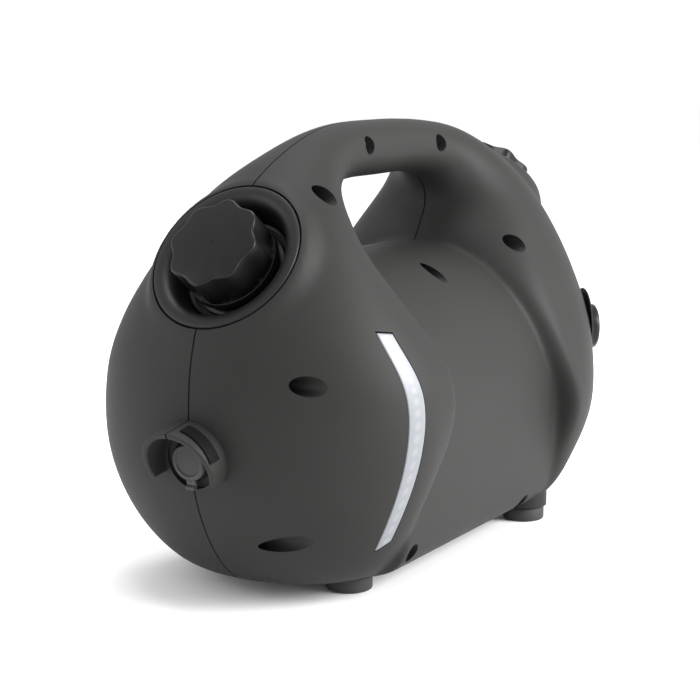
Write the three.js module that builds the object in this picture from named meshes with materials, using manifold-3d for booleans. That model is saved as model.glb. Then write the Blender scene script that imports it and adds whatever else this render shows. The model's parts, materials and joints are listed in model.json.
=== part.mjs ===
// Rechargeable air mattress pump: a two-half moulded housing with a carry handle, screw-capped
// ports at front and rear, side lamps, a charging socket and the blower inside.
// Millimetres. +Z is up, the front (inflating) port faces -X, and Z = 0 is the floor.
import * as THREE from "three";
import { ParametricGeometry } from "three/addons/geometries/ParametricGeometry.js";
import { mergeVertices } from "three/addons/utils/BufferGeometryUtils.js";
import Module from "manifold-3d";

const wasm = await Module();
wasm.setup();

// ---------------------------------------------------------------- driving dimensions
const WALL = 3; // housing wall
const GAP = 0.3; // clearance between neighbouring pieces
const BASE_Z = 8; // flat underside of the housing, held up by the feet
const BASE_SOFTNESS = 2; // how softly the sides roll into the underside
const BARREL_RADIUS = 73;
const BARREL_Z = BASE_Z + BARREL_RADIUS;
const BARREL_HALF_LENGTH = 86;
const BARREL_MIDDLE_X = -2;
const BARREL_SQUARENESS = 6; // power of the lower half of the barrel section
const RING_STEPS = 44; // around the handle opening
const SECTION_STEPS = 18; // around the housing's own section
const LEFT = -1; // the side that the screws go in from, seen from behind
const RIGHT = 1;

const MID_X = 80; // the drawing's X = 0, measured from the front feet in the table below
const FRAME_SHIFT = 4; // from the drawing's X = 0 to the middle of the whole length

// The housing is one ring around the handle opening. Each station has a point on the outer
// outline, one on the rim of the opening, the half width, where along the section the width is
// greatest, and how square the section's opening side is. X here is from the front feet.
const STATIONS = [
  [80, 12, 80, 34, 30, 0.5, 2.5],
  [22, 2, 8, 24, 54, 0.7, 3],
  [-22, 0, 0, 40, 70, 0.84, 4],
  [-54, 20, 5, 64, 82, 0.82, 5],
  [-74, 56, 12, 86, 88, 0.77, 6],
  [-78, 100, 14, 104, 86.5, 0.77, 6],
  [-71, 132, 10, 122, 77, 0.77, 5],
  [-52, 163, 6, 140, 62, 0.74, 4],
  [-27, 191, 2, 158, 44, 0.68, 3],
  [6, 208, 10, 178, 26, 0.6, 2.3],
  [40, 217, 39, 189, 17, 0.5, 2],
  [85, 219, 82, 191, 16, 0.5, 2],
  [128, 218, 114, 191, 17, 0.5, 2],
  [162, 213, 132, 186, 24, 0.5, 2],
  [194, 198, 138, 173, 37, 0.55, 2.3],
  [222, 174, 126, 151, 54, 0.62, 2.5],
  [241, 140, 126, 127, 70, 0.7, 4],
  [246, 104, 137, 98, 82, 0.78, 6],
  [230, 62, 149, 72, 87, 0.86, 7],
  [198, 26, 150, 50, 81, 0.8, 6],
  [165, 4, 142, 26, 66, 0.6, 3],
  [132, 4, 112, 24, 40, 0.5, 2.5],
];

// Both ports, in their own frame: heights are along the normal from the flange's seat.
const PORT = {
  bowlDepth: 15,
  tube: 17,
  tubeBore: 14.5,
  tubeTop: 6,
  tubeFoot: -35,
  capTop: 12.2,
  capRadius: 21.2,
  capLobes: 8,
  capLobeDepth: 1.15,
  gripFoot: -5,
  capRim: 22.4,
  capBore: 17.4,
  capFoot: -9,
};
const FRONT_PORT = {
  name: "front",
  centre: new THREE.Vector3(-129, 0, 161.2),
  normal: new THREE.Vector3(-0.803, 0, 0.596).normalize(),
  flange: 36.8,
  bowl: 26.5,
};
const REAR_PORT = {
  name: "rear",
  centre: new THREE.Vector3(132.5, 0, 180),
  normal: new THREE.Vector3(0.682, 0, 0.731).normalize(),
  flange: 30.6,
  bowl: 23.8,
};
// The housing is pulled flat around each port's flange, and eased back over this width.
const FACET_MARGIN = 0.6;
const FACET_FADE = 6.5;
const FACET_REACH = 20; // nothing farther from the flange's plane is moved

const GUARD = {
  centre: new THREE.Vector3(-157, 0, 73),
  normal: new THREE.Vector3(-0.985, 0, -0.17).normalize(),
  outer: 18.5,
  inner: 15.8,
  proudTop: 15.2, // how far the arch stands out at its crown
  proudFoot: 7.5, // and at its two lower ends
  root: 5,
  reach: 0.42, // radians the arch carries on below its centre, on each side
};
const RECESS_RADIUS = 13;
const RECESS_DEPTH = 2;
const SOCKET_BARREL = 6.5;

const BUTTON = {
  centre: new THREE.Vector3(134, -64.5, 100.5),
  normal: new THREE.Vector3(0.6, -0.8, 0).normalize(),
  recess: 22,
  recessDepth: 3,
  radius: 12.5,
  stem: 5,
  travel: 1.5,
};

const SCREWS = [
  [-28, 207],
  [44, 206],
  [-94, 187],
  [64, 153],
  [-2, 143],
  [-142, 109],
  [-137, 36],
  [-80, 22],
  [46, 17],
];
const SCREW = { head: 3.5, headHeight: 2.6, shank: 1.6, seat: 9, tip: 9.5 };
const SCREW_HOLE = 4.5;
const SCREW_PILOT = 1.95;
const NEAR_BOSS = 6.4;
const FAR_BOSS = 4.6;
const HALF_REACH = 100; // longer than any half width

const FEET = [
  ["front_left_foot", -80, -35],
  ["front_right_foot", -80, 35],
  ["rear_left_foot", 77, -53],
  ["rear_right_foot", 77, 53],
];
const FOOT = { radius: 11.2, boss: 12.6, stem: 3, stemTop: 15, bossTop: 17 };

// The lamp strip follows the housing's side: stations along its length, degrees across it.
const LAMP = {
  from: 2.75,
  to: 6.1,
  foot: 60,
  lean: 10,
  bow: 10.5,
  halfWidth: 4,
  proud: 0.3,
  depth: 3.4,
};

const FAN = { x: -43, z: 95, radius: 48, halfDepth: 16, wall: 2, eye: 24 };
const MOTOR = { radius: 21, front: -22, back: 44 };
const SHAFT_RADIUS = 2.5;
const CELL = { radius: 9.2, length: 65, pitch: 20, count: 5, x: -13 };

// ---------------------------------------------------------------- finishes
const finish = (color, roughness, metalness = 0) =>
  new THREE.MeshStandardMaterial({ color, roughness, metalness });
const HOUSING = finish(0x46463f, 0.62);
const FLANGE = finish(0x38383a, 0.5);
const CAP = finish(0x232323, 0.35);
const RUBBER = finish(0x1b1b1b, 0.85);
const LENS = finish(0xd7dae4, 0.35);
const STEEL = finish(0x9a9a98, 0.35, 1);
const CIRCUIT = finish(0x1f5a36, 0.5);
const INNER = finish(0x2c2c2c, 0.5);
const SLEEVE = finish(0x2b6fa8, 0.4);

// ---------------------------------------------------------------- solids
// A closed three.js geometry as a manifold solid whose faces point out.
function solid(geometry) {
  const bare = geometry.index ? geometry.toNonIndexed() : geometry.clone();
  bare.deleteAttribute("normal");
  bare.deleteAttribute("uv");
  const merged = mergeVertices(bare, 1e-4);
  const triVerts = new Uint32Array(merged.index.array);
  const vertProperties = new Float32Array(merged.attributes.position.array);
  const made = new wasm.Manifold(new wasm.Mesh({ numProp: 3, vertProperties, triVerts }));
  if (made.volume() > 0) return made;
  triVerts.reverse();
  return new wasm.Manifold(new wasm.Mesh({ numProp: 3, vertProperties, triVerts }));
}

function geometryOf(manifold) {
  const mesh = manifold.getMesh();
  const geometry = new THREE.BufferGeometry();
  geometry.setAttribute("position", new THREE.BufferAttribute(mesh.vertProperties, 3));
  geometry.setIndex(new THREE.BufferAttribute(mesh.triVerts, 1));
  geometry.computeVertexNormals();
  return geometry;
}

const joined = (solids) => solids.reduce((sum, next) => sum.add(next));

const pump = new THREE.Group();

function addPiece(name, manifold, material) {
  const mesh = new THREE.Mesh(geometryOf(manifold), material);
  mesh.name = name;
  pump.add(mesh);
}

// Turns a geometry made along +Z so that it stands on origin along normal.
function stand(geometry, { centre, normal }) {
  const turn = new THREE.Quaternion().setFromUnitVectors(new THREE.Vector3(0, 0, 1), normal);
  return geometry.applyQuaternion(turn).translate(centre.x, centre.y, centre.z);
}

// A solid of revolution about +Z from [radius, height] points, closed on itself or on the axis.
function turned(points, segments) {
  const outline = points.map(([radius, height]) => new THREE.Vector2(radius, height));
  const onAxis = points[0][0] === 0;
  if (!onAxis) outline.push(outline[0].clone());
  return new THREE.LatheGeometry(outline, segments).rotateX(Math.PI / 2);
}

const disc = (radius, low, high, segments = 20) =>
  turned(
    [
      [0, low],
      [radius, low],
      [radius, high],
      [0, high],
    ],
    segments,
  );

const tube = (outer, bore, low, high, segments = 20) =>
  turned(
    [
      [bore, low],
      [outer, low],
      [outer, high],
      [bore, high],
    ],
    segments,
  );

function block(x0, x1, y0, y1, z0, z1) {
  const box = new THREE.BoxGeometry(x1 - x0, y1 - y0, z1 - z0);
  return solid(box.translate((x0 + x1) / 2, (y0 + y1) / 2, (z0 + z1) / 2));
}

const axisY = (x, y, z, sense = 1) => ({
  centre: new THREE.Vector3(x, y, z),
  normal: new THREE.Vector3(0, sense, 0),
});
const axisX = (x, y, z, sense = 1) => ({
  centre: new THREE.Vector3(x, y, z),
  normal: new THREE.Vector3(sense, 0, 0),
});

// ---------------------------------------------------------------- housing surface
const closedCurve = (pick) =>
  new THREE.CatmullRomCurve3(
    STATIONS.map((row) => new THREE.Vector3(...pick(row))),
    true,
    "catmullrom",
    0.5,
  );
const outerCurve = closedCurve(([x, z, , , width]) => [x - MID_X, width, z]);
const windowCurve = closedCurve(([, , x, z]) => [x - MID_X, 0, z]);
const sectionCurve = closedCurve(([, , , , , widest, power]) => [widest, power, 0]);

const smooth = (t) => t * t * (3 - 2 * t);

function pullFlat(point, port, inset) {
  const offset = point.clone().sub(port.centre);
  const height = offset.dot(port.normal);
  const radius = offset.addScaledVector(port.normal, -height).length();
  const edge = port.flange + FACET_MARGIN + FACET_FADE;
  if (radius > edge || Math.abs(height) > FACET_REACH) return;
  const fade = (edge - radius) / FACET_FADE;
  const weight = smooth(THREE.MathUtils.clamp(fade, 0, 1));
  point.addScaledVector(port.normal, (-inset - height) * weight);
}

// The housing's surface: along runs 0..1 around the opening, angle around the section from the
// outer outline, and inset is the depth below the outside.
function housingPoint(along, angle, inset, target) {
  const outer = outerCurve.getPoint(along);
  const width = outer.y - inset;
  const rim = windowCurve.getPoint(along);
  const section = sectionCurve.getPoint(along);
  outer.y = 0;
  const chord = rim.clone().sub(outer);
  const length = chord.length();
  chord.normalize();
  const widest = section.x * length;
  const cosine = Math.cos(angle);
  const sine = Math.sin(angle);
  const power = cosine >= 0 ? 1 : 2 / section.y;
  const reach = cosine >= 0 ? widest - inset : length - widest - inset;
  const across = widest - Math.sign(cosine) * reach * Math.abs(cosine) ** power;
  target.copy(outer).addScaledVector(chord, across);
  target.y = width * Math.sign(sine) * Math.abs(sine) ** power;
  const floor = BASE_Z + inset;
  target.z = floor + BASE_SOFTNESS * Math.log1p(Math.exp((target.z - floor) / BASE_SOFTNESS));
  pullFlat(target, FRONT_PORT, inset);
  pullFlat(target, REAR_PORT, inset);
}

function ringSolid(inset) {
  const surface = (u, v, target) =>
    housingPoint(u % 1, (v % 1) * 2 * Math.PI, inset, target);
  return solid(new ParametricGeometry(surface, RING_STEPS, SECTION_STEPS));
}

// The barrel that the ring clasps: round above, squarer below.
function barrelSolid(inset) {
  const radius = BARREL_RADIUS - inset;
  const steps = 28;
  const section = new THREE.Shape();
  for (let i = 0; i < steps; i += 1) {
    const angle = (i / steps) * 2 * Math.PI;
    const power = Math.cos(angle) > 0 ? 1 : 2 / BARREL_SQUARENESS;
    const across = radius * Math.sign(Math.sin(angle)) * Math.abs(Math.sin(angle)) ** power;
    const up = radius * Math.sign(Math.cos(angle)) * Math.abs(Math.cos(angle)) ** power;
    if (i === 0) section.moveTo(across, up);
    else section.lineTo(across, up);
  }
  section.closePath();
  const depth = 2 * BARREL_HALF_LENGTH;
  const bar = new THREE.ExtrudeGeometry(section, { depth, bevelEnabled: false });
  bar.rotateX(Math.PI / 2).rotateZ(Math.PI / 2);
  return solid(bar.translate(BARREL_MIDDLE_X - BARREL_HALF_LENGTH, 0, BARREL_Z));
}

// ---------------------------------------------------------------- housing details
function screwBosses() {
  return SCREWS.flatMap(([x, z]) => [
    solid(stand(disc(NEAR_BOSS, 0, HALF_REACH, 12), axisY(x, 0, z, LEFT))),
    solid(stand(disc(FAR_BOSS, 0, HALF_REACH, 10), axisY(x, 0, z, RIGHT))),
  ]);
}

function screwHoles() {
  return SCREWS.flatMap(([x, z]) => [
    solid(stand(disc(SCREW_HOLE, SCREW.seat, HALF_REACH, 12), axisY(x, 0, z, LEFT))),
    solid(stand(disc(SCREW_PILOT, -SCREW.tip - 1, SCREW.seat + 1, 8), axisY(x, 0, z, LEFT))),
  ]);
}

function footBosses() {
  return FEET.map(([, x, y]) =>
    solid(disc(FOOT.boss, BASE_Z, FOOT.bossTop).translate(x, y, 0)),
  );
}

function footHoles() {
  return FEET.map(([, x, y]) =>
    solid(disc(FOOT.stem + GAP, 0, FOOT.stemTop + GAP, 16).translate(x, y, 0)),
  );
}

function portCuts(port) {
  const seat = disc(port.flange + GAP, -3.2, 30, 48);
  const well = disc(port.bowl + 4, -30, 0, 48);
  return [solid(stand(seat, port)), solid(stand(well, port))];
}

const GUARD_FOOT = -8; // height of the arch's lower ends from the socket's centre
const GUARD_SLOPE = Math.atan2(GUARD.proudTop - GUARD.proudFoot, GUARD.outer - GUARD_FOOT);

// Everything in front of the arch's sloping rim, in the arch's own frame.
function aboveGuardRim() {
  const size = 80;
  const box = new THREE.BoxGeometry(size, size, size).translate(0, 0, size / 2);
  return solid(box.rotateX(GUARD_SLOPE).translate(0, GUARD.outer, GUARD.proudTop));
}

// The arch that stands over the charging socket.
function guardArch() {
  const from = -GUARD.reach;
  const to = Math.PI + GUARD.reach;
  const middle = (GUARD.outer + GUARD.inner) / 2;
  const tip = (GUARD.outer - GUARD.inner) / 2;
  const arch = new THREE.Shape();
  arch.absarc(0, 0, GUARD.outer, from, to, false);
  arch.absarc(middle * Math.cos(to), middle * Math.sin(to), tip, to, to + Math.PI, false);
  arch.absarc(0, 0, GUARD.inner, to, from, true);
  arch.absarc(middle * Math.cos(from), middle * Math.sin(from), tip, from + Math.PI, from, false);
  const depth = GUARD.proudTop + GUARD.root;
  const bar = new THREE.ExtrudeGeometry(arch, { depth, bevelEnabled: false, curveSegments: 14 });
  const whole = solid(bar.translate(0, 0, -GUARD.root));
  return solid(facingFront(geometryOf(whole.subtract(aboveGuardRim())), GUARD));
}

// Places a geometry drawn in the XY plane (Y up, Z out) on the front of the housing.
function facingFront(geometry, { centre, normal }) {
  const across = new THREE.Vector3(0, 1, 0);
  const up = new THREE.Vector3().crossVectors(normal, across);
  if (up.z < 0) up.negate();
  const side = new THREE.Vector3().crossVectors(up, normal);
  const basis = new THREE.Matrix4().makeBasis(side, up, normal).setPosition(centre);
  return geometry.applyMatrix4(basis);
}

function socketCuts() {
  return [
    solid(stand(disc(RECESS_RADIUS, -RECESS_DEPTH, 6, 32), GUARD)),
    solid(stand(disc(SOCKET_BARREL + GAP, -30, 0), GUARD)),
  ];
}

function buttonCuts() {
  return [
    solid(stand(disc(BUTTON.recess, -BUTTON.recessDepth, 20, 40), BUTTON)),
    solid(stand(disc(BUTTON.stem + 1, -30, 0), BUTTON)),
  ];
}

// A strip of the housing's side between two depths; grow widens it for its slot.
function lampStrip(side, top, bottom, grow) {
  const steps = 14;
  const count = STATIONS.length;
  const half = LAMP.halfWidth + grow;
  const lengthwise = grow / 15;
  const corners = [
    [-half, top],
    [half, top],
    [half, bottom],
    [-half, bottom],
  ];
  const positions = [];
  const point = new THREE.Vector3();
  for (let i = 0; i <= steps; i += 1) {
    const t = i / steps;
    const station = LAMP.from - lengthwise + t * (LAMP.to - LAMP.from + 2 * lengthwise);
    const middle = LAMP.foot + LAMP.lean * t + LAMP.bow * Math.sin(Math.PI * t);
    for (const [across, inset] of corners) {
      const angle = THREE.MathUtils.degToRad(middle + across);
      housingPoint(station / count, side * angle, inset, point);
      positions.push(point.x, point.y, point.z);
    }
  }
  const index = [];
  for (let i = 0; i < steps; i += 1) {
    for (let k = 0; k < 4; k += 1) {
      const a = i * 4 + k;
      const b = i * 4 + ((k + 1) % 4);
      index.push(a, b, b + 4, a, b + 4, a + 4);
    }
  }
  const last = steps * 4;
  index.push(0, 2, 1, 0, 3, 2, last, last + 1, last + 2, last, last + 2, last + 3);
  const strip = new THREE.BufferGeometry();
  strip.setAttribute("position", new THREE.Float32BufferAttribute(positions, 3));
  strip.setIndex(index);
  return solid(strip);
}

const lampSlots = () => [LEFT, RIGHT].map((side) => lampStrip(side, -6, WALL + 4, 0.35));

function housingShells() {
  const outside = ringSolid(0).add(barrelSolid(0));
  const cavity = ringSolid(WALL).add(barrelSolid(WALL));
  const bosses = joined(screwBosses()).intersect(outside).add(joined(footBosses()));
  const cuts = [
    ...screwHoles(),
    ...footHoles(),
    ...portCuts(FRONT_PORT),
    ...portCuts(REAR_PORT),
    ...socketCuts(),
    ...buttonCuts(),
    ...lampSlots(),
  ];
  const housing = outside.subtract(cavity).add(bosses).add(guardArch()).subtract(joined(cuts));
  const far = 300;
  const half = GAP / 2;
  addPiece("left_shell", housing.subtract(block(-far, far, -half, far, -far, far)), HOUSING);
  addPiece("right_shell", housing.subtract(block(-far, far, -far, half, -far, far)), HOUSING);
}

// ---------------------------------------------------------------- ports and caps
function portDish(port) {
  const { bowlDepth, tube: neck } = PORT;
  const { flange, bowl } = port;
  const roll = flange - bowl;
  const profile = [
    [neck + GAP, -bowlDepth],
    [bowl - 1.5, -bowlDepth],
    [bowl, -bowlDepth + 1.5],
    [bowl + 0.4, -8],
    [bowl + 0.2 * roll, -3.5],
    [bowl + 0.49 * roll, -0.6],
    [bowl + 0.68 * roll, 0.8],
    [flange - 0.8, 0.8],
    [flange, 0],
    [flange, -2.8],
    [bowl + 3, -2.9],
    [bowl + 3, -8],
    [bowl + 3, -bowlDepth - 2],
    [neck + GAP, -bowlDepth - 2],
  ];
  addPiece(`${port.name}_port_dish`, solid(stand(turned(profile, 28), port)), FLANGE);
}

function portTube(port) {
  const { tube: neck, tubeBore, tubeTop, tubeFoot, bowlDepth } = PORT;
  const collar = port.bowl - 3.5;
  const profile = [
    [tubeBore, tubeFoot],
    [neck, tubeFoot],
    [neck, -bowlDepth + GAP],
    [collar, -bowlDepth + GAP],
    [collar, -bowlDepth + 2.3],
    [neck, -bowlDepth + 2.8],
    [neck, tubeTop - 0.6],
    [neck - 0.6, tubeTop],
    [tubeBore, tubeTop],
  ];
  addPiece(`${port.name}_port_tube`, solid(stand(turned(profile, 24), port)), CAP);
}

function lobedShape() {
  const steps = 48;
  const outline = new THREE.Shape();
  for (let i = 0; i < steps; i += 1) {
    const angle = (i / steps) * 2 * Math.PI;
    const radius = PORT.capRadius + PORT.capLobeDepth * Math.cos(PORT.capLobes * angle);
    if (i === 0) outline.moveTo(radius, 0);
    else outline.lineTo(radius * Math.cos(angle), radius * Math.sin(angle));
  }
  outline.closePath();
  return outline;
}

function portCap(port) {
  const { capTop, gripFoot, capRim, capBore, capFoot } = PORT;
  const depth = capTop - gripFoot + 0.5;
  const grip = new THREE.ExtrudeGeometry(lobedShape(), { depth, bevelEnabled: false });
  grip.translate(0, 0, gripFoot - 0.5);
  const body = disc(capRim, capFoot, gripFoot, 28);
  const hollow = disc(capBore, capFoot - 1, capTop - 3.2, 28);
  const dimple = disc(1, capTop - 0.5, capTop + 1, 12);
  const cap = solid(grip).add(solid(body)).subtract(solid(hollow)).subtract(solid(dimple));
  addPiece(`${port.name}_cap`, solid(stand(geometryOf(cap), port)), CAP);
}

function capSeal(port) {
  const low = PORT.tubeTop + GAP;
  const high = PORT.capTop - 3.2 - GAP;
  const ring = tube(PORT.capBore - GAP, PORT.tubeBore, low, high);
  addPiece(`${port.name}_cap_seal`, solid(stand(ring, port)), RUBBER);
}

// ---------------------------------------------------------------- outside pieces
function foot([name, x, y]) {
  const { radius, stem, stemTop } = FOOT;
  const profile = [
    [0, 0],
    [radius - 1, 0],
    [radius, 1],
    [radius, 6.5],
    [radius - 0.6, BASE_Z - GAP],
    [stem, BASE_Z - GAP],
    [stem, stemTop],
    [0, stemTop],
  ];
  addPiece(name, solid(turned(profile, 16).translate(x, y, 0)), RUBBER);
}

function screw(x, z, number) {
  const { head, headHeight, shank, seat, tip } = SCREW;
  const low = seat + GAP / 2;
  const profile = [
    [0, -tip],
    [shank * 0.4, -tip],
    [shank, -tip + 2.5],
    [shank, low],
    [head, low],
    [head, low + headHeight * 0.6],
    [head * 0.7, low + headHeight],
    [0, low + headHeight],
  ];
  const pan = solid(turned(profile, 8));
  const slot = (turn) => {
    const bar = new THREE.BoxGeometry(3.6, 0.9, 2.4);
    return solid(bar.rotateZ(turn).translate(0, 0, low + headHeight));
  };
  const driven = pan.subtract(slot(0)).subtract(slot(Math.PI / 2));
  addPiece(`housing_screw_${number}`, solid(stand(geometryOf(driven), axisY(x, 0, z, LEFT))), STEEL);
}

function lamps() {
  for (const [side, word] of [
    [LEFT, "left"],
    [RIGHT, "right"],
  ]) {
    addPiece(`${word}_lamp_lens`, lampStrip(side, -LAMP.proud, LAMP.depth, 0), LENS);
    const board = lampStrip(side, LAMP.depth + 0.6, LAMP.depth + 2, -0.6);
    addPiece(`${word}_lamp_board`, board, CIRCUIT);
  }
}

function chargeSocket() {
  const seat = -RECESS_DEPTH + GAP;
  const profile = [
    [0, -18],
    [SOCKET_BARREL, -18],
    [SOCKET_BARREL, seat],
    [9.6, seat],
    [9.6, seat + 1.2],
    [9, seat + 1.6],
    [3.4, seat + 1.6],
    [3.4, -11],
    [0, -11],
  ];
  const body = solid(stand(turned(profile, 20), GUARD));
  addPiece("charge_socket", body, INNER);
}

function socketPlug() {
  const low = -RECESS_DEPTH + GAP + 1.6 + GAP;
  const profile = [
    [0, -7],
    [2.6, -7],
    [3.1, -6],
    [3.1, low],
    [8.4, low],
    [8.4, low + 2],
    [7.4, low + 3.2],
    [0, low + 3.8],
  ];
  const bung = solid(turned(profile, 20));
  const tab = new THREE.Shape();
  tab.moveTo(-2.4, -6);
  tab.lineTo(2.4, -6);
  tab.lineTo(2.4, -10.6);
  tab.absarc(0, -10.6, 2.4, 0, -Math.PI, true);
  tab.closePath();
  const pull = new THREE.ExtrudeGeometry(tab, { depth: 1.8, bevelEnabled: false, curveSegments: 8 });
  const whole = bung.add(solid(pull.translate(0, 0, low + 0.1)));
  addPiece("socket_plug", solid(facingFront(geometryOf(whole), GUARD)), RUBBER);
}

function guardLabel() {
  const inner = GUARD.outer + GAP;
  const outer = inner + 0.5;
  const from = 0.25;
  const to = 1.35;
  const strip = new THREE.Shape();
  strip.absarc(0, 0, outer, from, to, false);
  strip.absarc(0, 0, inner, to, from, true);
  strip.closePath();
  const depth = 6.5;
  const plate = new THREE.ExtrudeGeometry(strip, { depth, bevelEnabled: false, curveSegments: 8 });
  const leaned = plate.translate(0, 0, 3.5);
  addPiece("guard_label", solid(facingFront(leaned, GUARD)), INNER);
}

function powerButton() {
  const floor = -BUTTON.recessDepth + GAP;
  const bezel = [
    [BUTTON.radius + GAP, floor],
    [BUTTON.recess - GAP, floor],
    [BUTTON.recess - GAP, floor + 0.8],
    [BUTTON.radius + 3, floor + 1.6],
    [BUTTON.radius + GAP, floor + 1.6],
  ];
  addPiece("button_bezel", solid(stand(turned(bezel, 30), BUTTON)), FLANGE);
  const low = floor + BUTTON.travel + GAP;
  const dome = [
    [0, -9],
    [BUTTON.stem, -9],
    [BUTTON.stem, low],
    [BUTTON.radius, low],
    [BUTTON.radius, low + 4],
    [BUTTON.radius - 1.2, low + 5.4],
    [BUTTON.radius * 0.6, low + 6.3],
    [0, low + 6.6],
  ];
  addPiece("power_button", solid(stand(turned(dome, 24), BUTTON)), CAP);
  const body = new THREE.BoxGeometry(16, 16, 12).translate(0, 0, -9 - BUTTON.travel - GAP - 6);
  addPiece("power_switch", solid(stand(body, BUTTON)), INNER);
}

// ---------------------------------------------------------------- blower
const fanAxis = axisX(FAN.x, 0, FAN.z, -1);

function fanHousing() {
  const { radius, halfDepth, wall, eye } = FAN;
  const cup = [
    [eye, -halfDepth],
    [radius, -halfDepth],
    [radius, halfDepth - wall - GAP],
    [radius - wall, halfDepth - wall - GAP],
    [radius - wall, wall - halfDepth],
    [eye, wall - halfDepth],
  ];
  addPiece("fan_housing_back", solid(stand(turned(cup, 30), fanAxis)), INNER);
  const cover = solid(disc(radius, halfDepth - wall, halfDepth, 30));
  const outlet = solid(disc(13, -halfDepth, halfDepth + 1).translate(0, 28, 0));
  const spigot = solid(tube(15, 13, halfDepth - wall / 2, halfDepth + 6).translate(0, 28, 0));
  const plate = cover.subtract(outlet).add(spigot);
  addPiece("fan_housing_front", solid(facingFront(geometryOf(plate), fanAxis)), INNER);
}

function impeller() {
  const blades = 7;
  const bladeHeight = 20;
  const plate = solid(tube(40, SHAFT_RADIUS + GAP, -12, -10, 24));
  const hub = solid(tube(8, SHAFT_RADIUS + GAP, -12, 8, 12));
  const parts = [plate, hub];
  for (let i = 0; i < blades; i += 1) {
    const vane = new THREE.Shape();
    vane.absarc(0, 26, 26, -Math.PI / 2 + 0.28, -0.35, false);
    vane.absarc(0, 26, 24.4, -0.35, -Math.PI / 2 + 0.28, true);
    vane.closePath();
    const shape = { depth: bladeHeight, bevelEnabled: false, curveSegments: 4 };
    const blade = new THREE.ExtrudeGeometry(vane, shape).translate(0, 0, -10.5);
    parts.push(solid(blade.rotateZ((i / blades) * 2 * Math.PI)));
  }
  addPiece("impeller", solid(stand(geometryOf(joined(parts)), fanAxis)), INNER);
}

function motor() {
  const { radius, front, back } = MOTOR;
  const bore = SHAFT_RADIUS + GAP;
  const profile = [
    [0, back],
    [8, back],
    [8, back - 4],
    [radius - 2, back - 4],
    [radius, back - 6],
    [radius, front + 6],
    [radius - 2, front + 4],
    [8, front + 4],
    [8, front],
    [bore, front],
    [bore, front + 14],
    [0, front + 14],
  ];
  addPiece("motor", solid(stand(turned(profile, 24), axisX(0, 0, FAN.z))), STEEL);
  const shaft = disc(SHAFT_RADIUS, FAN.x - 10, front + 13, 16);
  addPiece("motor_shaft", solid(stand(shaft, axisX(0, 0, FAN.z))), STEEL);
}

// A bent air pipe along a curve, with an open bore.
function airPipe(name, points) {
  const route = new THREE.CatmullRomCurve3(points);
  const ring = (radius) => new THREE.Shape().absarc(0, 0, radius, 0, 2 * Math.PI, false);
  const section = ring(15);
  section.holes.push(ring(12.6));
  const pipe = new THREE.ExtrudeGeometry(section, { steps: 8, extrudePath: route, curveSegments: 6 });
  addPiece(name, solid(pipe), INNER);
}

function airPipes() {
  const foot = (port, depth) => port.centre.clone().addScaledVector(port.normal, -depth);
  const start = -PORT.tubeFoot + GAP;
  const outletZ = FAN.z + 28;
  const outletX = FAN.x - FAN.halfDepth - 6 - GAP;
  const overMotor = FAN.z + MOTOR.radius + 17;
  airPipe("outlet_pipe", [
    foot(FRONT_PORT, start),
    foot(FRONT_PORT, start + 8),
    new THREE.Vector3(outletX - 10, 0, outletZ),
    new THREE.Vector3(outletX, 0, outletZ),
  ]);
  airPipe("inlet_pipe", [
    foot(REAR_PORT, start),
    foot(REAR_PORT, start + 12),
    new THREE.Vector3(76, 0, overMotor - 2),
    new THREE.Vector3(MOTOR.back, 0, overMotor),
    new THREE.Vector3(MOTOR.back - 26, 0, overMotor),
  ]);
}

// ---------------------------------------------------------------- power
function batteryPack() {
  const { radius, length, pitch, count, x } = CELL;
  const half = length / 2;
  const floor = BASE_Z + WALL + 2.6;
  const wide = (count * pitch) / 2 - 0.5;
  const end = (side) => {
    const inner = x + side * (half + 1);
    const outer = x + side * (half + 3.5);
    return block(Math.min(inner, outer), Math.max(inner, outer), -wide, wide, floor, floor + 15);
  };
  const deck = block(x - half - 3.5, x + half + 3.5, -wide, wide, floor, floor + 2);
  addPiece("battery_tray", joined([deck, end(-1), end(1)]), INNER);
  for (let i = 0; i < count; i += 1) {
    const y = (i - (count - 1) / 2) * pitch;
    const z = floor + 2 + GAP + radius;
    const profile = [
      [0, -half],
      [radius, -half],
      [radius, half - 1.6],
      [radius - 1.6, half - 0.8],
      [3, half - 0.8],
      [3, half],
      [0, half],
    ];
    const cell = stand(turned(profile, 14), axisX(x, y, z));
    addPiece(`battery_cell_${i + 1}`, solid(cell), SLEEVE);
  }
}

function controlBoard() {
  const x = 50;
  const board = block(x, x + 1.6, -32, 32, 30, 78);
  const parts = [
    board,
    block(x - 12, x + 0.1, -26, -8, 60, 74),
    block(x - 9, x + 0.1, 2, 26, 62, 72),
    block(x - 6, x + 0.1, -24, -4, 34, 46),
    solid(stand(disc(5, -0.1, 14, 16), axisX(x, 14, 44, -1))),
  ];
  addPiece("control_board", joined(parts), CIRCUIT);
}

// ---------------------------------------------------------------- assembly
housingShells();
for (const port of [FRONT_PORT, REAR_PORT]) {
  portDish(port);
  portTube(port);
  portCap(port);
  capSeal(port);
}
FEET.forEach(foot);
SCREWS.forEach(([x, z], i) => screw(x, z, i + 1));
lamps();
chargeSocket();
socketPlug();
guardLabel();
powerButton();
fanHousing();
impeller();
motor();
airPipes();
batteryPack();
controlBoard();

// The frame's origin lies under the middle of the whole length.
pump.position.x = FRAME_SHIFT;

export default pump;
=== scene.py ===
# Looks of the rechargeable air mattress pump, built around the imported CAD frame.
# Drawing sizes are in millimetres and become metres when a piece is made.
import json
import math

import bpy
from mathutils import Matrix, Vector


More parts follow.
